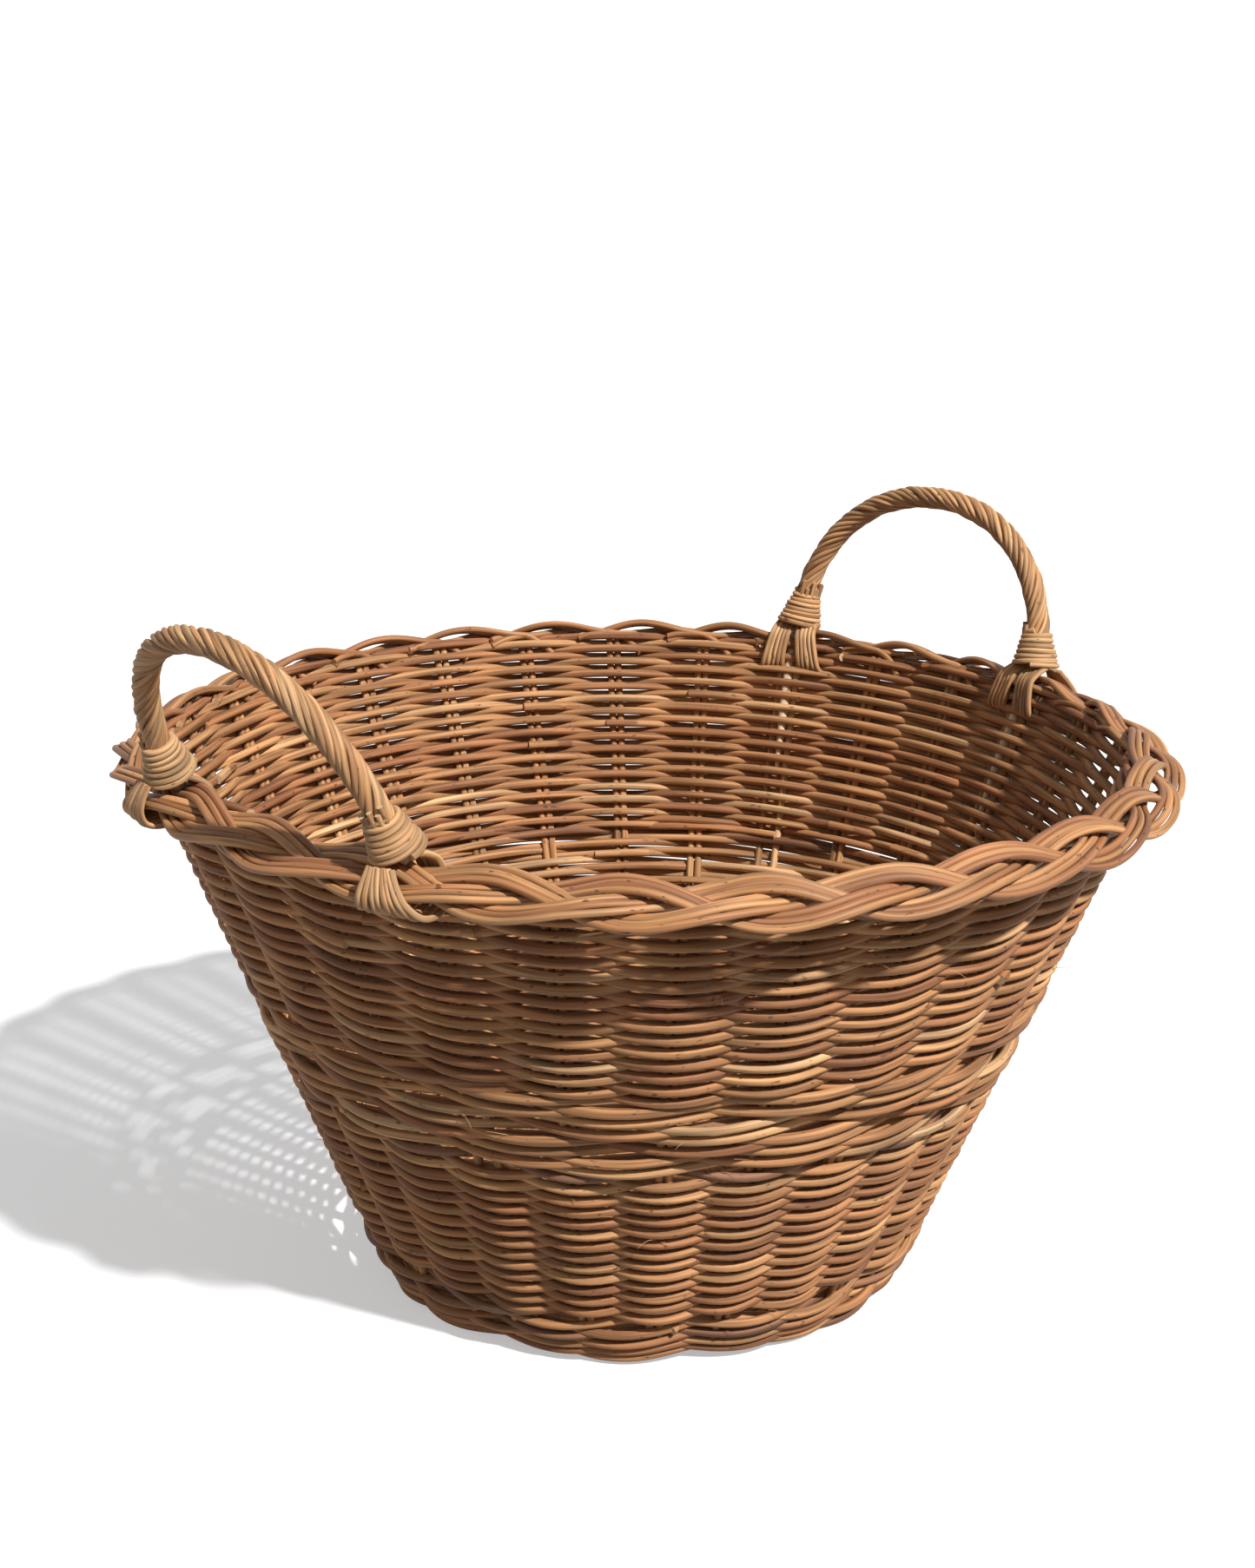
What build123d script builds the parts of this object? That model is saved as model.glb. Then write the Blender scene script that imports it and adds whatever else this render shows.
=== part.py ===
"""Round woven laundry basket: a stick-and-weave base, stakes in pairs, two bands of plain weave with a
waling band between them, a plaited border and two roped handles. Millimetres, +Z up, origin on the floor
under the middle of the basket, handles at the two ends of X."""

import os
from math import atan2, ceil, cos, hypot, pi, sin, sqrt, tan

from build123d import *

# Driving dimensions of the wall
stake_count = 28             # stake positions round the wall, an even number that 4 divides
base_spread = 143.5          # radius of the ring of stakes at floor level
rim_spread_x = 257.2         # half width of the ring of stakes at the border, along the handles
rim_spread_y = 272.1         # half width of the ring of stakes at the border, across the handles
border_height = 290.0        # height of the middle of the plait on the line of the stakes
border_room = 15.0           # from the top course up to the middle of the plait
stake_rod = 3.6              # diameter of a stake rod
stake_start = 1.0            # height of the stakes' lower ends
stake_short = 3.0            # from the stakes' upper ends up to the middle of the plait
pair_gap = 0.4               # gap between the two rods of a stake
course_thickness = 3.0       # thickness of one woven course, across the wall
course_gap = 1.2             # gap between one course and the next
weave_gap = 0.2              # gap between a course and the stakes it passes

# Heights where the bands of weave end, and the courses in each
foot_top = 10.0
upsett_top = 31.0
upper_top = border_height - border_room
lower_share = 0.4            # share of the weave above the upsett that is the lower plain band
waist_share = 0.2            # share that is the waling band
lower_top = upsett_top + lower_share * (upper_top - upsett_top)
waist_top = lower_top + waist_share * (upper_top - upsett_top)
foot_courses = 2
upsett_courses = 2
lower_courses = 7
waist_courses = 4
upper_courses = 7

# Base
spoke_count = stake_count // 2
stick_width = 8.0
stick_thickness = 6.0
base_height = 11.0           # height of the base sticks' middle plane
slath_pitch = 8.6            # spacing of the parallel sticks where they cross
slath_reach = 18.0           # half length of the straight middle of a stick that doesn't fan out
stick_end_gap = 3.4          # from a stick's end to the middle of the courses round it
slit_clearance = 0.3         # room for the crossing sticks in the slits of the pierced ones
base_weave_start = 50.0      # radius of the innermost base course
base_weave_end = 131.0       # radius of the outermost base course
base_pitch = 10.0            # radial pitch of the base courses
base_course_width = 5.0      # width of one base course, along a spoke
base_course_thickness = 2.6

# Plaited border
border_rod = 4.2             # side of one border rod
border_rod_gap = 0.4         # gap between the two rods of a strand
plait_reach = 13.0           # half the sideways swing of a strand
plait_lift = 7.8             # half the up and down swing of a strand
plait_eye = 3.25             # from the middle of the plait in to the eye that lies over each stake
strand_span = 3              # stakes that one strand passes along the border
plait_start = 150.0          # phase of the plait, in degrees, where a strand begins under the others
plait_steps = 6              # straight pieces in one strand
plait_butt = 0.006           # share of a strand left open where it meets the next

# Handles
foot_stake = 1.5             # steps of the stakes from the X axis to each handle foot
core_rod = 5.0               # diameter of the bow inside a handle
core_tuck = 105.0            # height of bow that is pushed down into the wall
core_gap = 0.3               # gap between the bow and the stake rods beside it
handle_rise = 86.0           # from the foot of the arch to the middle of the rope at its top
handle_lean = 11.7           # lean of the arch outwards, in degrees
handle_half_width = 80.0     # half the width of the arch at its top corners
handle_corner = 76.0         # radius of the arch's shoulders
handle_bend = 60.0           # radius of the bend from the wall into the arch
rope_strands = 3
rope_strand = 3.6            # side of one strand, which stands for rods that lie together
rope_turns = 3.0             # turns of each strand from foot to foot
rope_steps = 36              # straight pieces in each strand
rope_gap = 0.3

# Lashings at the handles' feet
loop_thickness = 3.2         # thickness of the loops that tie the border
loop_width = 12.0            # width of a loop, a bundle of rods side by side
loop_gap = 0.6               # room between a loop and what it ties
collar_thickness = 3.4       # thickness of the band of rods that is wound into a collar
collar_band = 6.4            # width of that band
collar_turns = 3
collar_band_gap = 0.55       # gap between one turn and the next
collar_room = 1.5            # room between the rope and a collar's top turn
collar_flare = 4.0           # how much wider a collar is at its foot than at its top
collar_seat = 4.6            # from the loops up to the middle of a collar's foot, which leans over them

step_angle = 360.0 / stake_count
pair_offset = (stake_rod + pair_gap) / 2
foot_offset = (core_rod + stake_rod) / 2 + core_gap
border_strand = 2 * border_rod + border_rod_gap


def stake_angle(k):
    return (k + 0.5) * step_angle


def is_foot(k):
    nearest = min(k % (stake_count // 2), -(k + 1) % (stake_count // 2))
    return abs(nearest + 0.5 - foot_stake) < 0.1


def rod_offset(k):
    return foot_offset if is_foot(k) else pair_offset


def stake_line(angle, z):
    """Point on the line of a stake, at an angle in degrees and a height."""
    share = z / border_height
    turn = angle * pi / 180
    x = base_spread + (rim_spread_x - base_spread) * share
    y = base_spread + (rim_spread_y - base_spread) * share
    return Vector(x * cos(turn), y * sin(turn), z)


def wall_frame(angle, z):
    """Point, direction up the wall, direction out of it and direction along it."""
    up = (stake_line(angle, z + 1) - stake_line(angle, z)).normalized()
    along = (stake_line(angle + 1, z) - stake_line(angle - 1, z)).normalized()
    along = (along - up * along.dot(up)).normalized()
    return stake_line(angle, z), up, along.cross(up), along


def save(shape, label):
    shape.label = label
    export_step(shape, f"parts/{label}.step")


def save_group(shapes, label):
    """Saves pieces that are alike as separate solids of one node."""
    save(Compound([solid for shape in shapes for solid in shape.solids()]), label)


# Wall courses: closed rings that pass outside some stakes and inside the others


def course_swing(k, z, outside):
    """How far a course stands off the line of stake k, so that it clears the stake's two rods."""
    _, up, _, _ = wall_frame(stake_angle(k), z)
    spacing = (stake_line(step_angle, z) - stake_line(0, z)).length
    bundle = 2 * rod_offset(k) + stake_rod / 2
    thickest = (core_rod * sin(pi / 4) if is_foot(k) else stake_rod * sin(pi / 3)) / up.Z
    swing = (thickest / 2 + course_thickness / 2 + weave_gap) / (1 - bundle / spacing)
    chord_dip = bundle / 2 * tan(step_angle / 2 * pi / 180)
    return swing + chord_dip if outside else -swing


def course_outline(z, swings, face):
    points = []
    for k, swing in enumerate(swings):
        angle = stake_angle(k)
        point = stake_line(angle, z)
        outward = Vector(cos(angle * pi / 180), sin(angle * pi / 180), 0)
        point += outward * (swing + face * course_thickness / 2)
        points.append((point.X, point.Y))
    return points


def make_course(label, z_low, z_high, outside):
    swings = [course_swing(k, z_low, outside(k)) for k in range(stake_count)]
    with BuildPart() as course:
        for face, mode in ((1, Mode.ADD), (-1, Mode.SUBTRACT)):
            for z in (z_low, z_high):
                with BuildSketch(Plane.XY.offset(z)):
                    Polygon(*course_outline(z, swings, face), align=None)
            loft(ruled=True, mode=mode)
    save(course.part, label)


def make_band(name, z_low, z_high, courses, outside):
    pitch = (z_high - z_low) / courses
    for row in range(courses):
        low = z_low + row * pitch + (course_gap if z_low + row else 0)
        make_course(f"{name}_{row + 1:02d}", low, z_low + (row + 1) * pitch, outside(row))


def plain_weave(row):
    return lambda k: (k + row) % 2 == 0


def four_rod_wale(row):
    return lambda k: (k + row) % 4 != 0


# Stakes


def make_stake(k, side):
    start, up, _, along = wall_frame(stake_angle(k), stake_start)
    start += along * side * rod_offset(k)
    top = border_height - stake_short * up.Z
    with BuildPart() as stake:
        with BuildSketch(Plane(origin=start, x_dir=along, z_dir=up)):
            RegularPolygon(stake_rod / 2, 6)
        extrude(amount=(top - stake_start) / up.Z)
    return stake.part


# Base: sticks pierced and crossed in the middle, fanned into spokes and woven round


def base_edge(angle):
    """Radius where a spoke meets the courses of the upsett, midway between two stakes."""
    near = stake_line(angle - step_angle / 2, base_height)
    far = stake_line(angle + step_angle / 2, base_height)
    middle = (near + far) / 2
    return hypot(middle.X, middle.Y) - course_thickness / 2 - stick_end_gap


def make_stick(direction, place, spoke, thickness, slit):
    """One base stick: straight through the cross, then out along a spoke at each end."""
    along = Vector(cos(direction * pi / 180), sin(direction * pi / 180), 0)
    aside = Vector(-along.Y, along.X, 0)
    middle = Vector(0, 0, base_height)
    reach = base_edge(spoke * 360 / spoke_count)
    fan = (spoke * 360 / spoke_count - direction) * pi / 180
    bend = place / tan(fan) if place else slath_reach
    tip = along * reach * cos(fan), aside * reach * sin(fan)
    stations = (
        (middle - tip[0] + tip[1], -fan),
        (middle - along * bend + aside * place, 0),
        (middle + along * bend + aside * place, 0),
        (middle + tip[0] + tip[1], fan),
    )
    with BuildPart() as stick:
        for point, way in stations:
            run = along * cos(way) + aside * sin(way)
            across = aside * cos(way) - along * sin(way)
            with BuildSketch(Plane(origin=point, x_dir=across, z_dir=run)):
                Rectangle(stick_width, thickness)
        loft(ruled=True)
        if slit:
            with BuildSketch(Plane(origin=middle + aside * place, x_dir=along, z_dir=aside)):
                Rectangle(slit[0], slit[1])
            extrude(amount=stick_width, both=True, mode=Mode.SUBTRACT)
    return stick.part


def make_base_sticks():
    """The sticks along Y are slit, and the thinner sticks along X pass through them."""
    along_x = spoke_count // 4
    along_y = spoke_count // 2 - along_x
    thin = stick_thickness / 2
    slit = ((along_x - 1) * slath_pitch + stick_width + 2 * slit_clearance, thin + 2 * slit_clearance)
    for name, count, direction, thickness, cut in (
        ("base_pierced_stick", along_y, 90, stick_thickness, slit),
        ("base_cross_stick", along_x, 0, thin, None),
    ):
        for n in range(count):
            step = n - (count - 1) / 2
            spoke = direction * spoke_count / 360 + step
            save(make_stick(direction, step * slath_pitch, spoke, thickness, cut), f"{name}_{n + 1}")


def make_base_weaver(label, first_spoke, parity):
    """A continuous weaver that spirals out over and under the spokes."""
    turns = (base_weave_end - base_weave_start) / (2 * base_pitch)
    swing = (stick_thickness + base_course_thickness) / 2 + weave_gap
    with BuildPart() as weaver:
        for n in range(ceil(turns * spoke_count)):
            radius = base_weave_start + 2 * base_pitch * n / spoke_count
            half = (stick_width / 2 + weave_gap) / radius * 180 / pi
            lift = swing * (1 if (n + parity) % 2 else -1)
            for side in (-half, half):
                angle = (first_spoke + n) * 360 / spoke_count + side
                turn = angle * pi / 180
                outward = Vector(cos(turn), sin(turn), 0)
                place = outward * radius + Vector(0, 0, base_height + lift)
                with BuildSketch(Plane(origin=place, x_dir=outward, z_dir=(-sin(turn), cos(turn), 0))):
                    Rectangle(base_course_width, base_course_thickness)
        loft(ruled=True)
    save(weaver.part, label)


# Plaited border: each stake position gives one strand of two rods


def plait_point(angle, phase):
    """Middle of a strand at an angle round the rim, for a phase of the plait in degrees."""
    point, up, out, along = wall_frame(angle, border_height)
    turn = phase * pi / 180
    aside = plait_eye + plait_reach * sin(turn)
    return point + out * aside + up * plait_lift * sin(2 * turn), out, along


def make_border_rod(k, side):
    """One rod of the strand that begins at stake k and ends where the strand of stake k + 3 begins."""
    with BuildPart() as rod:
        for n in range(plait_steps + 1):
            share = n / plait_steps
            if n == 0:
                share += plait_butt
            if n == plait_steps:
                share -= plait_butt
            angle = stake_angle(k) + share * strand_span * step_angle
            point, out, along = plait_point(angle, plait_start + 360 * n / plait_steps)
            point += out * side * (border_rod + border_rod_gap) / 2
            with BuildSketch(Plane(origin=point, x_dir=out, z_dir=along)):
                Rectangle(border_rod, border_rod)
        loft(ruled=True)
    return rod.part


# Handles: a bow pushed down beside the stakes, with strands twisted round it


def mirrored(point):
    return Vector(point.X, -point.Y, point.Z)


def handle_points():
    """Corners of one side of the bow of the handle at +X: tuck, foot and shoulder."""
    angle = foot_stake * step_angle
    foot = stake_line(angle, foot_height())
    tuck = stake_line(angle, foot.Z - core_tuck)
    lean = handle_lean * pi / 180
    shoulder = Vector(foot.X + handle_rise * sin(lean), handle_half_width, foot.Z + handle_rise * cos(lean))
    return tuck, foot, shoulder


def foot_height():
    """Height where the arch begins, on top of the loops that tie the border."""
    _, up, _, _ = wall_frame(foot_stake * step_angle, border_height)
    return border_height + (loop_inner()[1] / 2 + loop_thickness + collar_seat) * up.Z


def arch_wire():
    _, foot, shoulder = handle_points()
    with BuildLine() as arch:
        FilletPolyline(foot, shoulder, mirrored(shoulder), mirrored(foot), radius=handle_corner)
    return arch.wire()


def arch_frame(arch, share):
    point = arch.position_at(share)
    along = arch.tangent_at(share)
    lean = handle_lean * pi / 180
    face = Vector(cos(lean), 0, -sin(lean))
    return point, along, face.cross(along).normalized(), face


def make_handle_core(turn):
    tuck, foot, shoulder = handle_points()
    corners = (tuck, foot, shoulder, mirrored(shoulder), mirrored(foot), mirrored(tuck))
    with BuildPart() as core:
        with BuildLine() as path:
            FilletPolyline(*corners, radius=(handle_bend, handle_corner, handle_corner, handle_bend))
        with BuildSketch(Plane(origin=tuck, x_dir=(0, 1, 0), z_dir=foot - tuck)):
            Rectangle(core_rod / sqrt(2), core_rod / sqrt(2))
        sweep(path=path.wire())
    return core.part.rotate(Axis.Z, turn)


def rope_ring():
    """Distance from the bow's middle to a strand's line at its bends, so that its straights clear the bow."""
    return (core_rod / 2 + rope_gap + rope_strand / sqrt(2)) / cos(pi * rope_turns / rope_steps)


def make_rope_strand(arch, strand, turn):
    with BuildPart() as rope:
        for n in range(rope_steps + 1):
            point, along, aside, face = arch_frame(arch, n / rope_steps)
            twist = 2 * pi * (rope_turns * n / rope_steps + strand / rope_strands)
            point += (aside * cos(twist) + face * sin(twist)) * rope_ring()
            with BuildSketch(Plane(origin=point, x_dir=face, z_dir=along)):
                Rectangle(rope_strand, rope_strand)
        loft(ruled=True)
    return rope.part.rotate(Axis.Z, turn)


# Lashings: loops round the border on both sides of each handle foot, and a wound collar above them


def loop_inner():
    """Inside width and height of a loop, round the plait where it narrows beside a stake."""
    start = foot_offset + stake_rod / 2 + core_gap
    share = start / (rim_spread_x * step_angle / 2 * pi / 180)
    width = 2 * (plait_reach * (1 - share / 2) + border_strand / 2 + loop_gap)
    return width, 2 * (plait_lift * sin(pi / 3) * (1 - share) + border_rod / 2 + loop_gap)


def make_loops(label, turn, foot_side):
    foot_angle = foot_side * foot_stake * step_angle
    width, height = loop_inner()
    corner = loop_thickness
    with BuildPart() as loops:
        for side in (-1, 1):
            reach = foot_offset + stake_rod / 2 + core_gap + loop_width / 2
            foot = stake_line(foot_angle, border_height)
            angle = foot_angle + side * reach / hypot(foot.X, foot.Y) * 180 / pi
            point, up, out, along = wall_frame(angle, border_height)
            with BuildSketch(Plane(origin=point + out * plait_eye, x_dir=out, z_dir=along)) as ring:
                Rectangle(width + 2 * loop_thickness, height + 2 * loop_thickness)
                chamfer(ring.vertices(), corner)
                Rectangle(width, height, mode=Mode.SUBTRACT)
            extrude(amount=loop_width / 2, both=True)
    save(loops.part.rotate(Axis.Z, turn), label)


def collar_point(turn_share):
    """Place and direction on the winding, in the collar's own frame, after a share of its turns."""
    pitch = collar_band + collar_band_gap
    top = rope_ring() + rope_strand / sqrt(2) + collar_room + collar_thickness / 2
    flare = collar_flare / collar_turns
    radius = top + collar_flare - flare * turn_share
    twist = 2 * pi * turn_share
    place = Vector(radius * cos(twist), radius * sin(twist), collar_band / 2 + pitch * turn_share)
    way = Vector(-radius * sin(twist), radius * cos(twist), pitch / (2 * pi))
    way -= Vector(cos(twist), sin(twist), 0) * flare / (2 * pi)
    return place, way.normalized()


def biarc(start, start_way, end, end_way):
    """Two arcs that leave start and reach end in the given directions, as middle points and their joint."""
    span = end - start
    ways = start_way + end_way
    a = 2 * (1 - start_way.dot(end_way))
    b = 2 * span.dot(ways)
    c = -span.dot(span)
    reach = (-b + sqrt(b * b - 4 * a * c)) / (2 * a)
    joint = (start + start_way * reach + end - end_way * reach) / 2
    middles = []
    for point, way in ((start, start_way), (end, -end_way)):
        chord = joint - point
        corner = point + way * reach
        half = chord.length / 2
        rise = (corner - (point + joint) / 2)
        angle = atan2(rise.length, half)
        middles.append((point + joint) / 2 + rise.normalized() * half * tan(angle / 2))
    return middles[0], joint, middles[1]


def make_collar(turn, foot_side):
    quarters = 2 * collar_turns
    _, foot, shoulder = handle_points()
    if foot_side < 0:
        foot, shoulder = mirrored(foot), mirrored(shoulder)
    with BuildPart() as collar:
        with BuildLine() as winding:
            for n in range(quarters):
                start, start_way = collar_point(n * collar_turns / quarters)
                end, end_way = collar_point((n + 1) * collar_turns / quarters)
                first, joint, second = biarc(start, start_way, end, end_way)
                ThreePointArc(start, first, joint)
                ThreePointArc(joint, second, end)
        start, start_way = collar_point(0)
        with BuildSketch(Plane(origin=start, x_dir=(1, 0, 0), z_dir=start_way)):
            Rectangle(collar_thickness, collar_band)
        sweep(path=winding.wire())
    seat = Plane(origin=foot, x_dir=(0, 1, 0), z_dir=shoulder - foot)
    return (seat.location * collar.part).rotate(Axis.Z, turn)


def report_collar_gap():
    """Prints the least gap between the turns of a collar, measured on points of its line."""
    points = [collar_point(n / 24)[0] for n in range(24 * collar_turns + 1)]
    apart = min(
        (points[i] - points[j]).length for i in range(len(points)) for j in range(i + 12, len(points))
    )
    print(f"collar: least gap between turns {apart - collar_band:.2f} mm")


os.makedirs("parts", exist_ok=True)
make_band("foot_course", 0.0, foot_top, foot_courses, plain_weave)
make_band("upsett_course", foot_top, upsett_top, upsett_courses, four_rod_wale)
make_band("lower_course", upsett_top, lower_top, lower_courses, plain_weave)
make_band("waist_course", lower_top, waist_top, waist_courses, four_rod_wale)
make_band("upper_course", waist_top, upper_top, upper_courses, plain_weave)
save_group([make_stake(k, -1) for k in range(stake_count)], "side_stakes")
save_group([make_stake(k, 1) for k in range(stake_count)], "bye_stakes")
make_base_sticks()
make_base_weaver("base_weaver_first", 0, 0)
make_base_weaver("base_weaver_second", spoke_count // 2, 1 + spoke_count // 2 % 2)
save_group([make_border_rod(k, -1) for k in range(stake_count)], "border_inner_rods")
save_group([make_border_rod(k, 1) for k in range(stake_count)], "border_outer_rods")
collars, ropes = [], []
for end, turn in (("right", 0), ("left", 180)):
    save(make_handle_core(turn), f"handle_bow_{end}")
    ropes += [make_rope_strand(arch_wire(), strand, turn) for strand in range(rope_strands)]
    for foot, foot_side in (("near", -1), ("far", 1)):
        make_loops(f"border_loops_{end}_{foot}", turn, foot_side)
        collars.append(make_collar(turn, foot_side))
save_group(ropes, "handle_ropes")
save_group(collars, "handle_collars")
report_collar_gap()
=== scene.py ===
import math
import random

import bpy
import numpy as np
from mathutils import Matrix


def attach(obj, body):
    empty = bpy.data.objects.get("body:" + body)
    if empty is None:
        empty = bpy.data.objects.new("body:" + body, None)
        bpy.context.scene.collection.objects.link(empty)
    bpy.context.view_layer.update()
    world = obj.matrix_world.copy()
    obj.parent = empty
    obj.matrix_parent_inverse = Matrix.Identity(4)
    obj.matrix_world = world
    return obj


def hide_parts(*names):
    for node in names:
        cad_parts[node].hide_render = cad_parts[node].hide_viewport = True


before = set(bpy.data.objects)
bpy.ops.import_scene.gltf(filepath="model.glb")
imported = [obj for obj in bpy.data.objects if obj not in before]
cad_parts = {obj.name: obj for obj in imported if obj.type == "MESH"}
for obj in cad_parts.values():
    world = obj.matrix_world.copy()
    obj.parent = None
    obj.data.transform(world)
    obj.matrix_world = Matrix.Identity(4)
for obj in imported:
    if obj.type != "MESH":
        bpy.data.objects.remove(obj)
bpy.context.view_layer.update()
random.seed(28)  # the same basket on every run
noise = np.random.default_rng(28)
metres = 0.001  # sizes here are in millimetres, and Blender's are in metres
uneven = 0.04  # how much a rod's thickness changes along it

# The wall's shape: the line of the stakes, which ends a little higher at the left handle.
wall = dict(stakes=28, baseSpread=143.5, rimSpreadX=251.7, rimSpreadY=266.6, rimHeight=290.0)
wall.update(rise=6.5, riseAt=math.radians(165), riseWide=math.radians(30))
stepAngle = 2 * math.pi / wall["stakes"]
footStep = 1.5  # from the X axis to a handle's foot, in steps of the stakes


def rimRise(angle):
    away = np.remainder(np.asarray(angle) - wall["riseAt"] + np.pi, 2 * np.pi) - np.pi
    return wall["rise"] * np.exp(-((away / wall["riseWide"]) ** 2))


def stakeLine(angle, z):
    angle, z = np.broadcast_arrays(np.asarray(angle, float), np.asarray(z, float))
    share = z / wall["rimHeight"]
    x = wall["baseSpread"] + (wall["rimSpreadX"] - wall["baseSpread"]) * share
    y = wall["baseSpread"] + (wall["rimSpreadY"] - wall["baseSpread"]) * share
    return np.stack([x * np.cos(angle), y * np.sin(angle), z + rimRise(angle) * share**2], -1)


def unit(v):
    return v / np.linalg.norm(v, axis=-1, keepdims=True)


# The point on the stakes' line, and the directions up the wall, out of it and along it.
def wallFrame(angle, z):
    up = unit(stakeLine(angle, np.asarray(z) + 1.0) - stakeLine(angle, np.asarray(z) - 1.0))
    along = unit(stakeLine(np.asarray(angle) + 0.01, z) - stakeLine(np.asarray(angle) - 0.01, z))
    along = unit(along - up * np.sum(along * up, -1, keepdims=True))
    return stakeLine(angle, z), up, np.cross(along, up), along


# A slow random wander along a rod, about 1 high at most.
def wander(count, waves):
    t = np.linspace(0, 1, count)
    total = np.zeros(count)
    for n in range(1, 4):
        total += np.sin(2 * np.pi * (waves * n * t + noise.random())) / n
    return total / 1.8


# Rods: round tubes with cut ends, each with coordinates for its grain and a tint from 0, dark, to 1, pale.
tints = dict(middle=0.5, stray=0.16, givenStray=0.12, darkest=0.02, palest=0.98)
grainShift = 5000  # each rod takes its grain from a place of its own


# Two directions square to the rod, carried along it without twisting.
def carriedFrames(path):
    tangents = unit(np.gradient(path, axis=0))
    side = np.cross(tangents[0], [0.0, 0.0, 1.0])
    if np.linalg.norm(side) < 0.2:  # the rod starts upright
        side = np.cross(tangents[0], [1.0, 0.0, 0.0])
    sides = np.empty_like(path)
    for i, tangent in enumerate(tangents):
        side = side - tangent * side.dot(tangent)
        side = side / math.sqrt(side.dot(side))
        sides[i] = side
    return sides, np.cross(tangents, sides)


def rod(path, radius, tint=None):
    path = np.asarray(path, float)
    radius = np.broadcast_to(np.asarray(radius, float), (len(path),))
    if tint is None:
        tint = random.gauss(tints["middle"], tints["stray"])
    else:
        tint = random.gauss(tint, tints["givenStray"])
    return dict(path=path, radius=radius, tint=min(max(tint, tints["darkest"]), tints["palest"]))


def lengthAlong(path):
    return np.concatenate([[0], np.cumsum(np.linalg.norm(np.diff(path, axis=0), axis=1))])


def buildRods(name, rods, settings, material, nodes):
    sides = settings["sides"]
    turn = np.linspace(0, 2 * np.pi, sides, endpoint=False)
    points, faces, grain, tint, cut = [], [], [], [], []
    start = 0
    for one in rods:
        path, radius = one["path"], one["radius"]
        count = len(path)
        side, lift = carriedFrames(path)
        ring = side[:, None] * np.cos(turn)[None, :, None] + lift[:, None] * np.sin(turn)[None, :, None]
        skin = path[:, None] + ring * radius[:, None, None]
        shift = noise.random(3) * grainShift
        own = np.empty((count, sides, 3))
        own[..., 0] = lengthAlong(path)[:, None] + shift[0]
        own[..., 1] = np.cos(turn)[None] * radius[:, None] + shift[1]
        own[..., 2] = np.sin(turn)[None] * radius[:, None] + shift[2]
        points += [skin.reshape(-1, 3), skin[0], skin[-1]]  # the cut ends have points of their own
        grain += [own.reshape(-1, 3), own[0], own[-1]]
        tint.append(np.full(count * sides + 2 * sides, one["tint"]))
        cut += [np.zeros(count * sides), np.ones(2 * sides)]
        i = np.arange(count - 1)[:, None] * sides
        j = np.arange(sides)[None]
        k = (j + 1) % sides
        quads = np.stack([i + j, i + k, i + sides + k, i + sides + j], -1).reshape(-1, 4) + start
        faces += quads.tolist()
        low = start + count * sides
        faces.append(list(range(low + sides - 1, low - 1, -1)))
        faces.append(list(range(low + sides, low + 2 * sides)))
        start += count * sides + 2 * sides
    mesh = bpy.data.meshes.new(name)
    mesh.from_pydata((np.concatenate(points) * metres).tolist(), [], faces)
    mesh.polygons.foreach_set("use_smooth", np.ones(len(mesh.polygons), bool))
    for label, kind, field, values in (
        ("grain", "FLOAT_VECTOR", "vector", np.concatenate(grain) * metres),
        ("tint", "FLOAT", "value", np.concatenate(tint)),
        ("cut", "FLOAT", "value", np.concatenate(cut)),
    ):
        mesh.attributes.new(label, kind, "POINT").data.foreach_set(field, values.astype(np.float32).ravel())
    mesh.materials.append(material)
    piece = bpy.data.objects.new(name, mesh)
    bpy.context.scene.collection.objects.link(piece)
    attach(piece, "root")
    if nodes:
        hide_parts(*nodes)
    print("made", name, len(rods), "rods", len(mesh.polygons), "faces")


# Woods: rods that differ in tint, with a lengthwise grain, worn patches, dark specks and paler cut ends.
# A mark has waves per metre, along a rod and across it, and goes from dark to light between two levels.
bark = dict(
    grain=dict(waves=(18, 560, 560), detail=5.0, low=0.36, high=0.64),
    patches=dict(waves=(14, 120, 120), detail=3.0, low=0.3, high=0.7),
    specks=dict(waves=(160, 420, 420), detail=2.0, low=0.27, high=0.33),
)
bark.update(worn=(0.66, 0.62, 0.6), fresh=(1.18, 1.15, 1.1), speck=(0.35, 0.3, 0.28), bare=(1.0, 1.0, 1.0))
bark.update(brighter=0.4, shine=0.35, bump=0.35, bumpDepth=0.0004)


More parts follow.
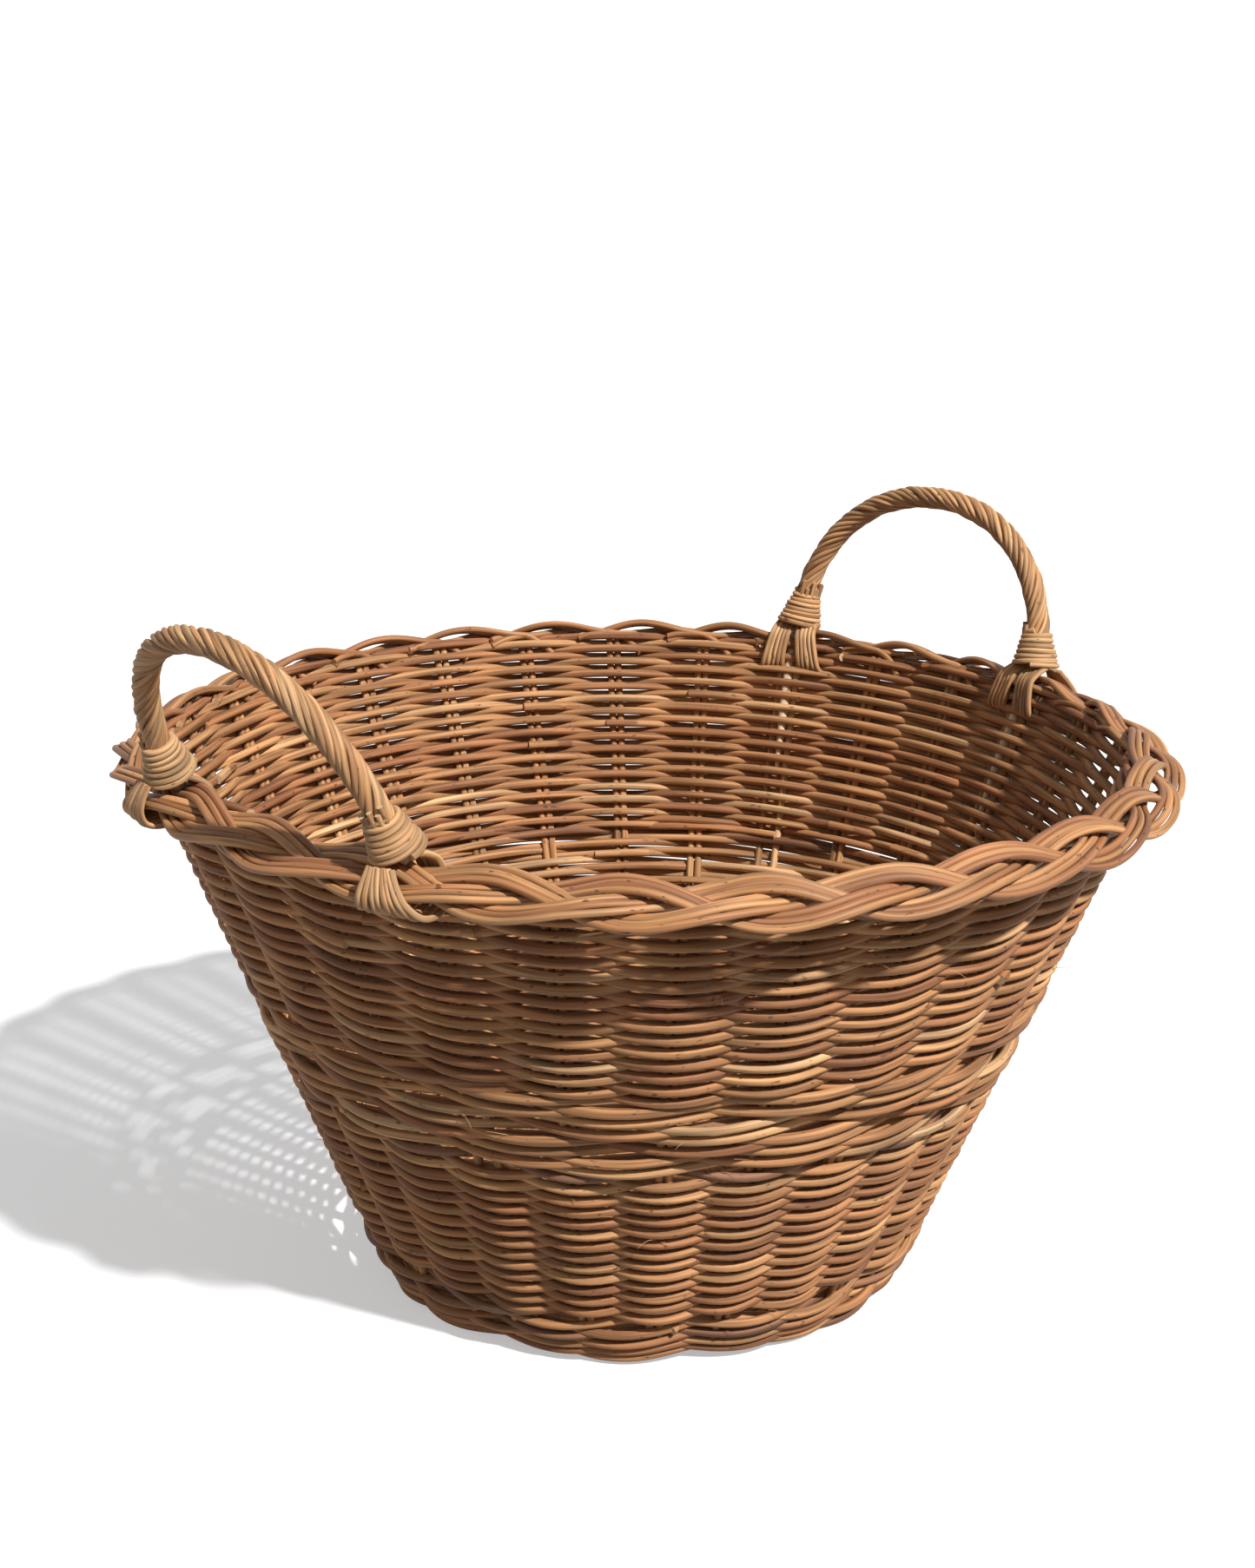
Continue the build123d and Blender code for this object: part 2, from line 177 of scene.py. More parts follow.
def rodMaterial(name, colours, roughness, cutColour, grainDepth):
    made = bpy.data.materials.new(name)
    made.use_nodes = True
    tree = made.node_tree
    nodes, links = tree.nodes, tree.links
    surface = nodes["Principled BSDF"]
    surface.inputs["Roughness"].default_value = roughness
    surface.inputs["Specular IOR Level"].default_value = bark["shine"]

    def add(kind, **values):
        node = nodes.new(kind)
        for key, value in values.items():
            setattr(node, key, value)
        return node

    def mix(kind, factor, first, second):
        node = add("ShaderNodeMix", data_type="RGBA", blend_type=kind)
        for place, value in ((0, factor), (6, first), (7, second)):  # the factor and the two colours
            if isinstance(value, bpy.types.NodeSocket):
                links.new(value, node.inputs[place])
            else:
                node.inputs[place].default_value = value
        return node.outputs[2]

    def ramp(source, stops):
        node = add("ShaderNodeValToRGB")
        line = node.color_ramp
        while len(line.elements) < len(stops):
            line.elements.new(0.5)
        for element, (place, colour) in zip(line.elements, stops):
            element.position = place
            element.color = (*colour, 1.0)
        links.new(source, node.inputs[0])
        return node.outputs[0]

    along = add("ShaderNodeAttribute", attribute_name="grain").outputs["Vector"]

    def marks(look, dark, light):
        stretch = add("ShaderNodeVectorMath", operation="MULTIPLY")
        stretch.inputs[1].default_value = look["waves"]
        links.new(along, stretch.inputs[0])
        texture = add("ShaderNodeTexNoise")
        texture.inputs["Scale"].default_value = 1.0
        texture.inputs["Detail"].default_value = look["detail"]
        links.new(stretch.outputs[0], texture.inputs["Vector"])
        height = texture.outputs["Fac"]
        return height, ramp(height, ((look["low"], dark), (look["high"], light)))

    fine, shade = marks(bark["grain"], (1 - grainDepth,) * 3, (1.0 + grainDepth * bark["brighter"],) * 3)
    _, patch = marks(bark["patches"], bark["worn"], bark["fresh"])
    _, speck = marks(bark["specks"], bark["speck"], bark["bare"])
    tint = add("ShaderNodeAttribute", attribute_name="tint").outputs["Fac"]
    cut = add("ShaderNodeAttribute", attribute_name="cut").outputs["Fac"]
    stops = [(n / (len(colours) - 1), colour) for n, colour in enumerate(colours)]
    colour = mix("MULTIPLY", 1.0, ramp(tint, stops), shade)
    colour = mix("MULTIPLY", 1.0, colour, patch)
    colour = mix("MULTIPLY", 1.0, colour, speck)
    links.new(mix("MIX", cut, colour, (*cutColour, 1.0)), surface.inputs["Base Color"])
    bump = add("ShaderNodeBump")
    bump.inputs["Strength"].default_value = bark["bump"]
    bump.inputs["Distance"].default_value = bark["bumpDepth"]
    links.new(fine, bump.inputs["Height"])
    links.new(bump.outputs[0], surface.inputs["Normal"])
    print("made", name)
    return made


# From dark bark through purplish and reddish browns to tan and pale straw.
browns = (
    (0.115, 0.054, 0.028),
    (0.225, 0.112, 0.063),
    (0.335, 0.140, 0.058),
    (0.42, 0.20, 0.083),
    (0.50, 0.26, 0.112),
    (0.58, 0.335, 0.16),
    (0.68, 0.45, 0.25),
)
tans = ((0.28, 0.135, 0.058), (0.42, 0.215, 0.095), (0.53, 0.30, 0.14), (0.62, 0.40, 0.21))
creams = ((0.62, 0.46, 0.28), (0.74, 0.59, 0.40), (0.80, 0.67, 0.48))
wallWood = rodMaterial("wallWood", browns, roughness=0.7, cutColour=(0.46, 0.31, 0.17), grainDepth=0.5)
borderWood = rodMaterial("borderWood", browns, roughness=0.55, cutColour=(0.5, 0.34, 0.18), grainDepth=0.42)
handleWood = rodMaterial("handleWood", tans, roughness=0.62, cutColour=(0.55, 0.38, 0.21), grainDepth=0.5)
peeledWood = rodMaterial("peeledWood", creams, roughness=0.5, cutColour=(0.74, 0.6, 0.4), grainDepth=0.2)

# Wall weave: weavers climb in a helix past the stakes. A swing of 1 is outside the stakes, and -1 is inside.
samples = 8  # points on a weaver from one stake or spoke to the next
wale = dict(span=3, outward=0.2, swing=1.15)  # a wave passes three stakes, two outside and one inside


def waleWave(x, parity):
    return 2 * np.pi * (x - 0.5 - parity) / wale["span"]


def plainSwing(x, parity):
    return np.cos(np.pi * (x + parity))


def waleSwing(x, parity):
    return wale["outward"] + wale["swing"] * np.cos(waleWave(x, parity))


plainRods = dict(slot="wall_rods", sides=8, radius=2.52, reach=4.15, sway=0.28, lift=0.0, endsOut=0.15)
plainRods.update(swing=plainSwing, rodTurns=(0.8, 1.5), loose=0.25)
waleRods = dict(slot="wall_rods", sides=8, radius=2.5, reach=3.8, sway=0.3, lift=0.7, endsOut=0.15)
waleRods.update(swing=waleSwing, rodTurns=(0.7, 1.2), loose=0.25)
footRods = dict(slot="wall_rods", sides=8, radius=2.25, reach=3.2, sway=0.1, lift=0.4, endsOut=0.0)
footRods.update(swing=waleSwing, rodTurns=(0.5, 0.8), loose=0.25)

# Where one rod of a weaver ends and the next takes over; lengths are counted in points of the weaver.
joins = dict(deep=0.8, shortest=3 * samples, lastShortest=4 * samples, early=4, late=3)
joins.update(standOff=0.8, fade=3.0, thickEnd=1.07, thinEnd=0.93, sizes=(0.94, 1.05))


def weaver(settings, band, first, parity):
    total = int(band["turns"] * wall["stakes"] * samples) + 1
    steps = first + np.arange(total) / samples
    x = steps - 0.5
    z = band["low"] + band["rise"] * np.arange(total) / (samples * wall["stakes"])
    z = z + wander(total, band["turns"] * 2) * settings["sway"]
    reach = settings["reach"] + wander(total, band["turns"] * 5) * settings["loose"]
    swing = settings["swing"](x, parity) * reach
    z = z + settings["lift"] * np.sin(waleWave(x, parity))
    point, _, out, _ = wallFrame(steps * stepAngle, z)
    return point + out * swing[:, None], out, swing


# Cuts a weaver into rods of a real rod's length. Their ends lie inside the wall, at times outside it, and
# stand off a little.
def cutToRods(path, out, swing, settings):
    deep = joins["deep"] * settings["reach"]
    inside = np.flatnonzero(swing < -deep)
    kept = slice(inside[0], inside[-1] + 1)  # the first and last ends of a weaver lie inside too
    path, out, swing = path[kept], out[kept], swing[kept]
    rods, start = [], 0
    while start < len(path) - joins["shortest"]:
        stop = start + int(random.uniform(*settings["rodTurns"]) * wall["stakes"] * samples)
        if stop > len(path) - joins["lastShortest"]:
            stop = len(path)
        else:
            way = 1 if random.random() < settings["endsOut"] else -1
            while stop < len(path) - samples and swing[stop] * way < deep:
                stop += 1
        part = slice(max(start - joins["early"], 0), min(stop + joins["late"], len(path)))
        line = path[part].copy()
        fade = np.arange(len(line))
        push = np.exp(-((fade / joins["fade"]) ** 2)) + np.exp(-((fade[::-1] / joins["fade"]) ** 2))
        face = np.where(swing[part] < 0, -1.0, 1.0)
        line += out[part] * (push * face * settings["radius"] * joins["standOff"])[:, None]
        taper = np.linspace(joins["thickEnd"], joins["thinEnd"], len(line))[:: random.choice((-1, 1))]
        radius = settings["radius"] * random.uniform(*joins["sizes"]) * taper
        rods.append(rod(line, radius * (1 + uneven * wander(len(line), 9))))
        start = stop
    return rods


firstRowUp = 1.2  # from a band's lower edge to its first row, in radii of a rod


def weaveBand(name, low, high, rows, weavers, settings, nodes):
    pitch = (high - low) / rows
    firstRow = low + settings["radius"] * firstRowUp
    band = dict(low=firstRow, rise=pitch * weavers, turns=rows / weavers - 1 / weavers)
    rods = []
    for n in range(weavers):
        first = n * wall["stakes"] / weavers
        path, out, swing = weaver(settings, band, round(first), n)
        rods += cutToRods(path, out, swing, settings)
    buildRods(name, rods, settings, wallWood, nodes)


def courses(name, count):
    return [f"{name}_course_{n:02d}" for n in range(1, count + 1)]


weaveBand("footRods", 1.0, 15.0, 6, 3, footRods, courses("foot", 2))
weaveBand("upsettRods", 9.5, 31.0, 6, 3, waleRods, courses("upsett", 2))
weaveBand("lowerWallRods", 29.5, 131.5, 27, 2, plainRods, courses("lower", 7))
weaveBand("waistRods", 127.0, 180.0, 15, 3, waleRods, courses("waist", 4))
weaveBand("upperWallRods", 173.0, 293.7, 32, 2, plainRods, courses("upper", 7))

# Loose fibres: short hairs of bark that stand off the wall rods.
fibres = dict(slot="wall_rods", sides=4, radius=0.2, count=110, length=(4.0, 11.0), heights=(20.0, 275.0))
fibres.update(points=7, standOff=5.2, slant=0.35, climb=(-0.5, 0.6), thinEnd=0.4, tint=0.7)
fibres.update(curlUp=(-0.6, 0.6), curlOut=(0.0, 0.6))


def fibreRods():
    rods = []
    t = np.linspace(0, 1, fibres["points"])[:, None]
    radius = fibres["radius"] * np.linspace(1.0, fibres["thinEnd"], fibres["points"])
    for _ in range(fibres["count"]):
        angle = random.uniform(0, 2 * math.pi)
        point, up, out, along = wallFrame(angle, random.uniform(*fibres["heights"]))
        out = out * random.choice((-1, 1))  # outside the wall or inside it
        length = random.uniform(*fibres["length"])
        way = along * random.choice((-1, 1)) + up * random.uniform(*fibres["climb"]) + out * fibres["slant"]
        curl = up * random.uniform(*fibres["curlUp"]) + out * random.uniform(*fibres["curlOut"])
        line = point + out * fibres["standOff"] + unit(way) * length * t + curl * length * t**2
        rods.append(rod(line, radius, fibres["tint"]))
    return rods


buildRods("looseFibres", fibreRods(), fibres, wallWood, [])

# Stakes: pairs of rods up the wall, a little uneven; those at the handles' feet stand apart for the bow.
stakes = dict(slot="stake_rods", sides=8, radius=2.3, apart=2.4, footApart=5.4, tint=0.6)
stakes.update(low=5.0, high=289.0, points=40, strayAlong=0.25, strayOut=0.2)


def isFoot(k):
    turn = (k + 0.5) % (wall["stakes"] // 2)
    return min(abs(turn - footStep), abs(turn - wall["stakes"] // 2 + footStep)) < 0.1


def stakeRods(side):
    rods = []
    count = stakes["points"]
    z = np.linspace(stakes["low"], stakes["high"], count)
    for k in range(wall["stakes"]):
        point, _, out, along = wallFrame(np.full(count, (k + 0.5) * stepAngle), z)
        apart = side * (stakes["footApart"] if isFoot(k) else stakes["apart"])
        line = point + along * (apart + stakes["strayAlong"] * wander(count, 2))[:, None]
        line = line + out * (stakes["strayOut"] * wander(count, 2))[:, None]
        rods.append(rod(line, stakes["radius"] * (1 + uneven * wander(count, 3)), stakes["tint"]))
    return rods


buildRods("sideStakes", stakeRods(-1), stakes, wallWood, ["side_stakes"])
buildRods("byeStakes", stakeRods(1), stakes, wallWood, ["bye_stakes"])

# Border: three rods from every stake run out into a plait of three strands, dive under it and end inside.
border = dict(slot="border_rods", sides=10, radius=2.0, points=64, tint=0.5, strayAside=0.5, strayRise=0.4)
border.update(height=294.5, eye=9.0, reach=9.6, lift=3.3, tilt=1.5)  # the plait's middle and its swings
border.update(span=3, start=225.0, beside=2.03)  # stakes passed, first phase, radii from rod to rod
border.update(comeUp=0.1, depth=15.0, stakeBeside=2.0)  # how a rod comes up out of the wall at its stake
border.update(diveAt=(0.97, 1.03), diveLong=0.14, last=1.13, endIn=(1.0, 5.0), endLow=(5.0, 8.0))
border.update(sizes=(0.92, 1.08), thickEnd=1.05, thinEnd=0.92)


def borderPoint(angle, aside, rise):
    point, up, out, _ = wallFrame(angle, np.full(np.shape(angle), border["height"]))
    return point + out * np.asarray(aside)[..., None] + up * np.asarray(rise)[..., None]


# A strand passes over as it leaves an edge of the plait and under as it comes to the other.
def borderRod(k, offset):
    count = border["points"]
    share = np.linspace(-border["comeUp"], border["last"], count)
    phase = np.radians(border["start"] + 360 * share)
    aside = border["eye"] + border["reach"] * np.sin(phase) + offset * border["radius"] * border["beside"]
    rise = -border["lift"] * np.sin(2 * phase) - border["tilt"] * np.sin(phase)
    begin = np.clip(-share / border["comeUp"], 0, 1) ** 1.5
    aside = aside * (1 - begin) + offset * border["stakeBeside"] * begin
    rise = rise * (1 - begin) - border["depth"] * begin
    finish = np.clip((share - random.uniform(*border["diveAt"])) / border["diveLong"], 0, 1) ** 1.4
    aside = aside * (1 - finish) - random.uniform(*border["endIn"]) * finish
    rise = rise * (1 - finish) - random.uniform(*border["endLow"]) * finish
    angle = (k + 0.5 + border["span"] * share) * stepAngle
    aside = aside + border["strayAside"] * wander(count, 2)
    rise = rise + border["strayRise"] * wander(count, 2)
    radius = border["radius"] * random.uniform(*border["sizes"]) * (1 + uneven * wander(count, 2))
    taper = np.linspace(border["thickEnd"], border["thinEnd"], count)
    return rod(borderPoint(angle, aside, rise), radius * taper, border["tint"])


def borderRods(offsets):
    return [borderRod(k, offset) for k in range(wall["stakes"]) for offset in offsets]


buildRods("borderInnerRods", borderRods((-1, 0)), border, borderWood, ["border_inner_rods"])
buildRods("borderOuterRods", borderRods((1,)), border, borderWood, ["border_outer_rods"])

# Base: sticks crossed and fanned into spokes, with two weavers chasing each other out from the middle.
base = dict(slot="wall_rods", sides=8, radius=1.9, sizes=(0.93, 1.05), height=11.0, spokes=14)
base.update(inner=22.0, outer=141.0, pitch=3.9, reach=5.4, flatWithin=60.0, flattest=0.75)
base.update(rodPoints=330, shortest=200, overlap=4)  # how a weaver is cut into rods, in points
sticks = dict(slot="stake_rods", sides=10, radius=3.6, pitch=8.6, reach=142.0, straight=18.0)
sticks.update(points=12, tint=0.4)


def baseStick(direction, step):
    fan = step * 2 * math.pi / base["spokes"]
    place = step * sticks["pitch"]
    bend = place / math.tan(fan) if step else sticks["straight"]
    along = np.array([math.cos(direction), math.sin(direction), 0.0])
    across = np.array([-along[1], along[0], 0.0])
    tip = sticks["reach"]
    corners = [
        -along * tip * math.cos(fan) + across * tip * math.sin(fan),
        -along * bend + across * place,
        along * bend + across * place,
        along * tip * math.cos(fan) + across * tip * math.sin(fan),
    ]
    runs = [np.linspace(a, b, sticks["points"], endpoint=False) for a, b in zip(corners, corners[1:])]
    line = np.concatenate(runs + [corners[-1:]])
    line[:, 2] += base["height"]
    return rod(line, sticks["radius"], sticks["tint"])


pierced = [baseStick(math.pi / 2, n - 1.5) for n in range(4)]
buildRods("basePiercedSticks", pierced, sticks, wallWood, [f"base_pierced_stick_{n}" for n in range(1, 5)])
crossing = [baseStick(0.0, n - 1.0) for n in range(3)]
buildRods("baseCrossSticks", crossing, sticks, wallWood, [f"base_cross_stick_{n}" for n in range(1, 4)])


def baseWeaver(first):
    turns = (base["outer"] - base["inner"]) / (2 * base["pitch"])
    total = int(turns * base["spokes"] * samples)
    x = first + np.arange(total) / samples
    spread = base["inner"] + 2 * base["pitch"] * np.arange(total) / (samples * base["spokes"])
    angle = x * 2 * np.pi / base["spokes"]
    swing = base["reach"] * np.cos(np.pi * x) * np.clip(spread / base["flatWithin"], base["flattest"], 1)
    line = np.stack([spread * np.cos(angle), spread * np.sin(angle), base["height"] + swing], -1)
    cuts = list(range(0, total - base["shortest"], base["rodPoints"])) + [total]
    rods = []
    for start, stop in zip(cuts, cuts[1:]):
        part = line[max(start - base["overlap"], 0) : stop + base["overlap"]]
        rods.append(rod(part, base["radius"] * random.uniform(*base["sizes"])))
    return rods


baseRods = baseWeaver(0) + baseWeaver(base["spokes"] // 2)
buildRods("baseRods", baseRods, base, wallWood, ["base_weaver_first", "base_weaver_second"])

# Handles: a peeled bow pushed down the wall beside a stake, with rods twisted round it into a rope.
handle = dict(slot="handle_rods", sides=8, foot=305.0, reach=245.4, square=2.1)
handle.update(step=2.5, finePoints=400, above=10)  # above: points from a foot, to tell its direction
handle.update(strands=10, radius=1.75, ring=4.9, lay=62.0, drift=0.16, loose=0.3)
handle.update(sizes=(0.9, 1.12), uneven=0.05, tints=(0.4, 0.55, 0.65))
bow = dict(slot="peeled_core", sides=10, radius=3.2, step=4.0, tint=0.5)
bow.update(tuck=88.0, legTop=25.0, legPoints=8, inside=1.5, eased=6, tip=0.45, tipLong=60)
arches = dict(
    Right=dict(turn=np.array([1.0, 1.0, 1.0]), half=88.5, rise=87.5, lean=math.radians(12.75)),
    Left=dict(turn=np.array([-1.0, -1.0, 1.0]), half=81.5, rise=97.5, lean=math.radians(24.3)),
)
mirror = np.array([1.0, -1.0, 1.0])


def evenLine(line, step):
    length = lengthAlong(line)
    even = np.linspace(0, length[-1], int(length[-1] / step) + 2)
    return np.stack([np.interp(even, length, line[:, n]) for n in range(3)], -1)


# Half of a slightly squared ellipse that leans out, from the foot at +Y to the one at -Y.
def archLine(arch, step):
    t = np.linspace(0, np.pi, handle["finePoints"])
    across = arch["half"] * np.sign(np.cos(t)) * np.abs(np.cos(t)) ** (2 / handle["square"])
    climb = arch["rise"] * np.abs(np.sin(t)) ** (2 / handle["square"])
    x = handle["reach"] + climb * math.sin(arch["lean"])
    z = handle["foot"] + climb * math.cos(arch["lean"])
    return evenLine(np.column_stack([x, across, z]), step)


def bowRods(arch):
    z = np.linspace(handle["foot"] - bow["tuck"], handle["foot"] - bow["legTop"], bow["legPoints"])
    point, _, out, _ = wallFrame(footStep * stepAngle, z)
    leg = point - out * bow["inside"]
    line = evenLine(np.concatenate([leg, archLine(arch, bow["step"]), leg[::-1] * mirror]), bow["step"])
    for _ in range(bow["eased"]):
        line[1:-1] = (line[:-2] + 2 * line[1:-1] + line[2:]) / 4  # eases the bend at each foot
    place = np.arange(len(line))
    fromEnd = np.minimum(place, place[::-1]) * bow["step"]
    radius = bow["radius"] * np.clip(bow["tip"] + fromEnd / bow["tipLong"], 0, 1)
    return [rod(line * arch["turn"], radius, bow["tint"])]


def ropeRods(arch):
    line = archLine(arch, handle["step"])
    count = len(line)
    side, lift = carriedFrames(line)
    length = np.arange(count) * handle["step"]
    rods = []
    for n in range(handle["strands"]):
        drift = handle["drift"] * wander(count, 3)
        twist = 2 * np.pi * (length / handle["lay"] + n / handle["strands"]) + drift
        ring = handle["ring"] + handle["loose"] * wander(count, 4)
        strand = line + side * (np.cos(twist) * ring)[:, None] + lift * (np.sin(twist) * ring)[:, None]
        radius = handle["radius"] * random.uniform(*handle["sizes"])
        radius = radius * (1 + handle["uneven"] * wander(count, 5))
        rods.append(rod(strand * arch["turn"], radius, random.choice(handle["tints"])))
    return rods


for end, arch in arches.items():
    buildRods(f"handleBow{end}", bowRods(arch), bow, peeledWood, [f"handle_bow_{end.lower()}"])
    buildRods(f"handleRope{end}", ropeRods(arch), handle, handleWood, ["handle_ropes"])

# Collars: a rod wound round each handle foot, wider below, with cut ends standing up out of it.
collar = dict(slot="handle_rods", sides=8, radius=1.6, turns=7, pitch=2.9, seat=-1.8, top=7.0, bottom=12.8)
collar.update(turnPoints=26, startWithin=6, looseRing=0.35, looseHeight=0.4, tint=0.75)
cutEnds = dict(count=6, apart=(0.3, 0.48), ring=7.2, tipRing=(7.0, 8.2), low=10.0, tip=(20.0, 26.0))
cutEnds.update(radius=(1.3, 1.6), points=8, tint=0.6)


# Where a handle stands on the border: the place, the way it goes up, and its angle round the basket.
def footPlace(side, arch):
    line = archLine(arch, handle["step"]) * arch["turn"]
    if side < 0:
        line = line[::-1]
    foot, above = line[0], line[handle["above"]]
    angle = math.atan2(foot[1] / wall["rimSpreadY"], foot[0] / wall["rimSpreadX"])
    return foot, unit(above - foot), angle


def collarRods(side, arch):
    foot, axis, angle = footPlace(side, arch)
    across = unit(np.cross(axis, [0.0, 1.0, 0.3]))  # any direction square to the axis
    third = np.cross(axis, across)
    foot = foot + axis * rimRise(angle)
    share = np.linspace(0, 1, collar["turns"] * collar["turnPoints"])
    count = len(share)
    twist = 2 * np.pi * collar["turns"] * share + random.random() * collar["startWithin"]
    ring = collar["bottom"] + (collar["top"] - collar["bottom"]) * share
    ring = ring + collar["looseRing"] * wander(count, 5)
    height = collar["seat"] + collar["pitch"] * collar["turns"] * share
    height = height + collar["looseHeight"] * wander(count, 6)
    line = foot + across * (ring * np.cos(twist))[:, None] + third * (ring * np.sin(twist))[:, None]
    line = line + axis * height[:, None]
    rods = [rod(line, collar["radius"] * (1 + uneven * wander(count, 4)), collar["tint"])]
    place = random.random() * 2 * np.pi
    for _ in range(cutEnds["count"]):
        place += random.uniform(*cutEnds["apart"])
        out = across * math.cos(place) + third * math.sin(place)
        low = foot + out * cutEnds["ring"] + axis * cutEnds["low"]
        tip = foot + out * random.uniform(*cutEnds["tipRing"]) + axis * random.uniform(*cutEnds["tip"])
        line = np.linspace(low, tip, cutEnds["points"])
        rods.append(rod(line, random.uniform(*cutEnds["radius"]), cutEnds["tint"]))
    return rods


# Loops: rods from under a collar that lash the border, a bundle swept aside outside it and two legs inside.
# The spreads are the place along the border of a bundle's first rod, and the step from rod to rod.
loops = dict(slot="handle_rods", sides=8, radius=1.65, wide=17.4, tall=8.8, points=40, tint=0.68)
loops.update(loose=0.3, sizes=(0.92, 1.06))
loops.update(outside=8, outsideTop=(-5.0, 1.5), outsideFoot=(-8.0, 4.4))
loops.update(inside=5, insideTop=(1.8, 2.2), insideFoot=(6.0, 3.2))

# A loop's course, in shares of its width out from the plait's middle and of its height above it.
roundBorder = [(0.42, 1.3), (0.75, 0.72), (0.97, 0.1), (0.92, -0.6)]
roundBorder += [(0.45, -1.03), (-0.2, -1.05), (-0.7, -0.8)]
downWall = [(0.42, 1.3), (0.75, 0.75), (0.98, 0.1), (0.97, -0.8)]
downWall += [(0.9, -1.6), (0.75, -2.1), (0.45, -2.3)]


# A smooth line through all the corners.
def smoothLine(corners, count):
    padded = np.concatenate([2 * corners[:1] - corners[1:2], corners, 2 * corners[-1:] - corners[-2:-1]])
    places = []
    for share in np.linspace(0, len(corners) - 1, count):
        n = min(int(share), len(corners) - 2)
        t = share - n
        before, here, there, after = padded[n : n + 4]
        bend = 2 * before - 5 * here + 4 * there - after
        rest = 3 * here - before - 3 * there + after
        places.append(here + 0.5 * t * (there - before + t * (bend + t * rest)))
    return np.array(places)


def loopRods(side, arch):
    _, _, angleOfFoot = footPlace(side, arch)
    reach = math.hypot(*stakeLine(angleOfFoot, border["height"])[:2])

    def lash(face, n, topSpread, footSpread, way=1):
        course = np.array(roundBorder if face > 0 else downWall)
        top = way * (topSpread[0] + topSpread[1] * n)
        foot = way * (footSpread[0] + footSpread[1] * n)
        fall = (course[0, 1] - course[:, 1]) / np.ptp(course[:, 1])
        spread = top + (foot - top) * fall
        corners = np.column_stack([course * (face * loops["wide"], loops["tall"]), spread])
        shape = smoothLine(corners, loops["points"])
        shape = shape + np.column_stack([loops["loose"] * wander(loops["points"], 1) for _ in range(3)])
        angle = angleOfFoot + side * shape[:, 2] / reach
        line = borderPoint(angle, border["eye"] + shape[:, 0], shape[:, 1])
        return rod(line, loops["radius"] * random.uniform(*loops["sizes"]), loops["tint"])

    rods = [lash(1, n, loops["outsideTop"], loops["outsideFoot"]) for n in range(loops["outside"])]
    for way in (-1, 1):
        for n in range(loops["inside"]):
            rods.append(lash(-1, n, loops["insideTop"], loops["insideFoot"], way))
    return rods


for end, arch in arches.items():
    for foot, side in (("Far", 1), ("Near", -1)):
        buildRods(f"collar{end}{foot}", collarRods(side, arch), collar, handleWood, ["handle_collars"])
        node = f"border_loops_{end.lower()}_{foot.lower()}"
        buildRods(f"borderLoops{end}{foot}", loopRods(side, arch), loops, handleWood, [node])

# Stage: a pale floor and sky, and one sun behind the camera at its right.
stage = dict(size=18.0, paint=0.58, rough=0.9, glow=0.43, bounce=0.24, sky=0.27)
stage.update(sun=5.1, soft=math.radians(2.5), sunHeight=math.radians(46), sunAside=math.radians(41))
stage.update(heading=math.radians(-46.875))  # the way the camera looks, from +Y


# 1 where the camera looks, straight or by a mirror or glass, and 0 for the light that falls on the object.
def seenFactor(tree):
    path = tree.nodes.new("ShaderNodeLightPath")
    factor = path.outputs["Is Camera Ray"]
    for name in ("Is Glossy Ray", "Is Transmission Ray"):
        either = tree.nodes.new("ShaderNodeMath")
        either.operation = "MAXIMUM"
        tree.links.new(factor, either.inputs[0])
        tree.links.new(path.outputs[name], either.inputs[1])
        factor = either.outputs[0]
    return factor


def grey(level):
    return (level, level, level, 1.0)


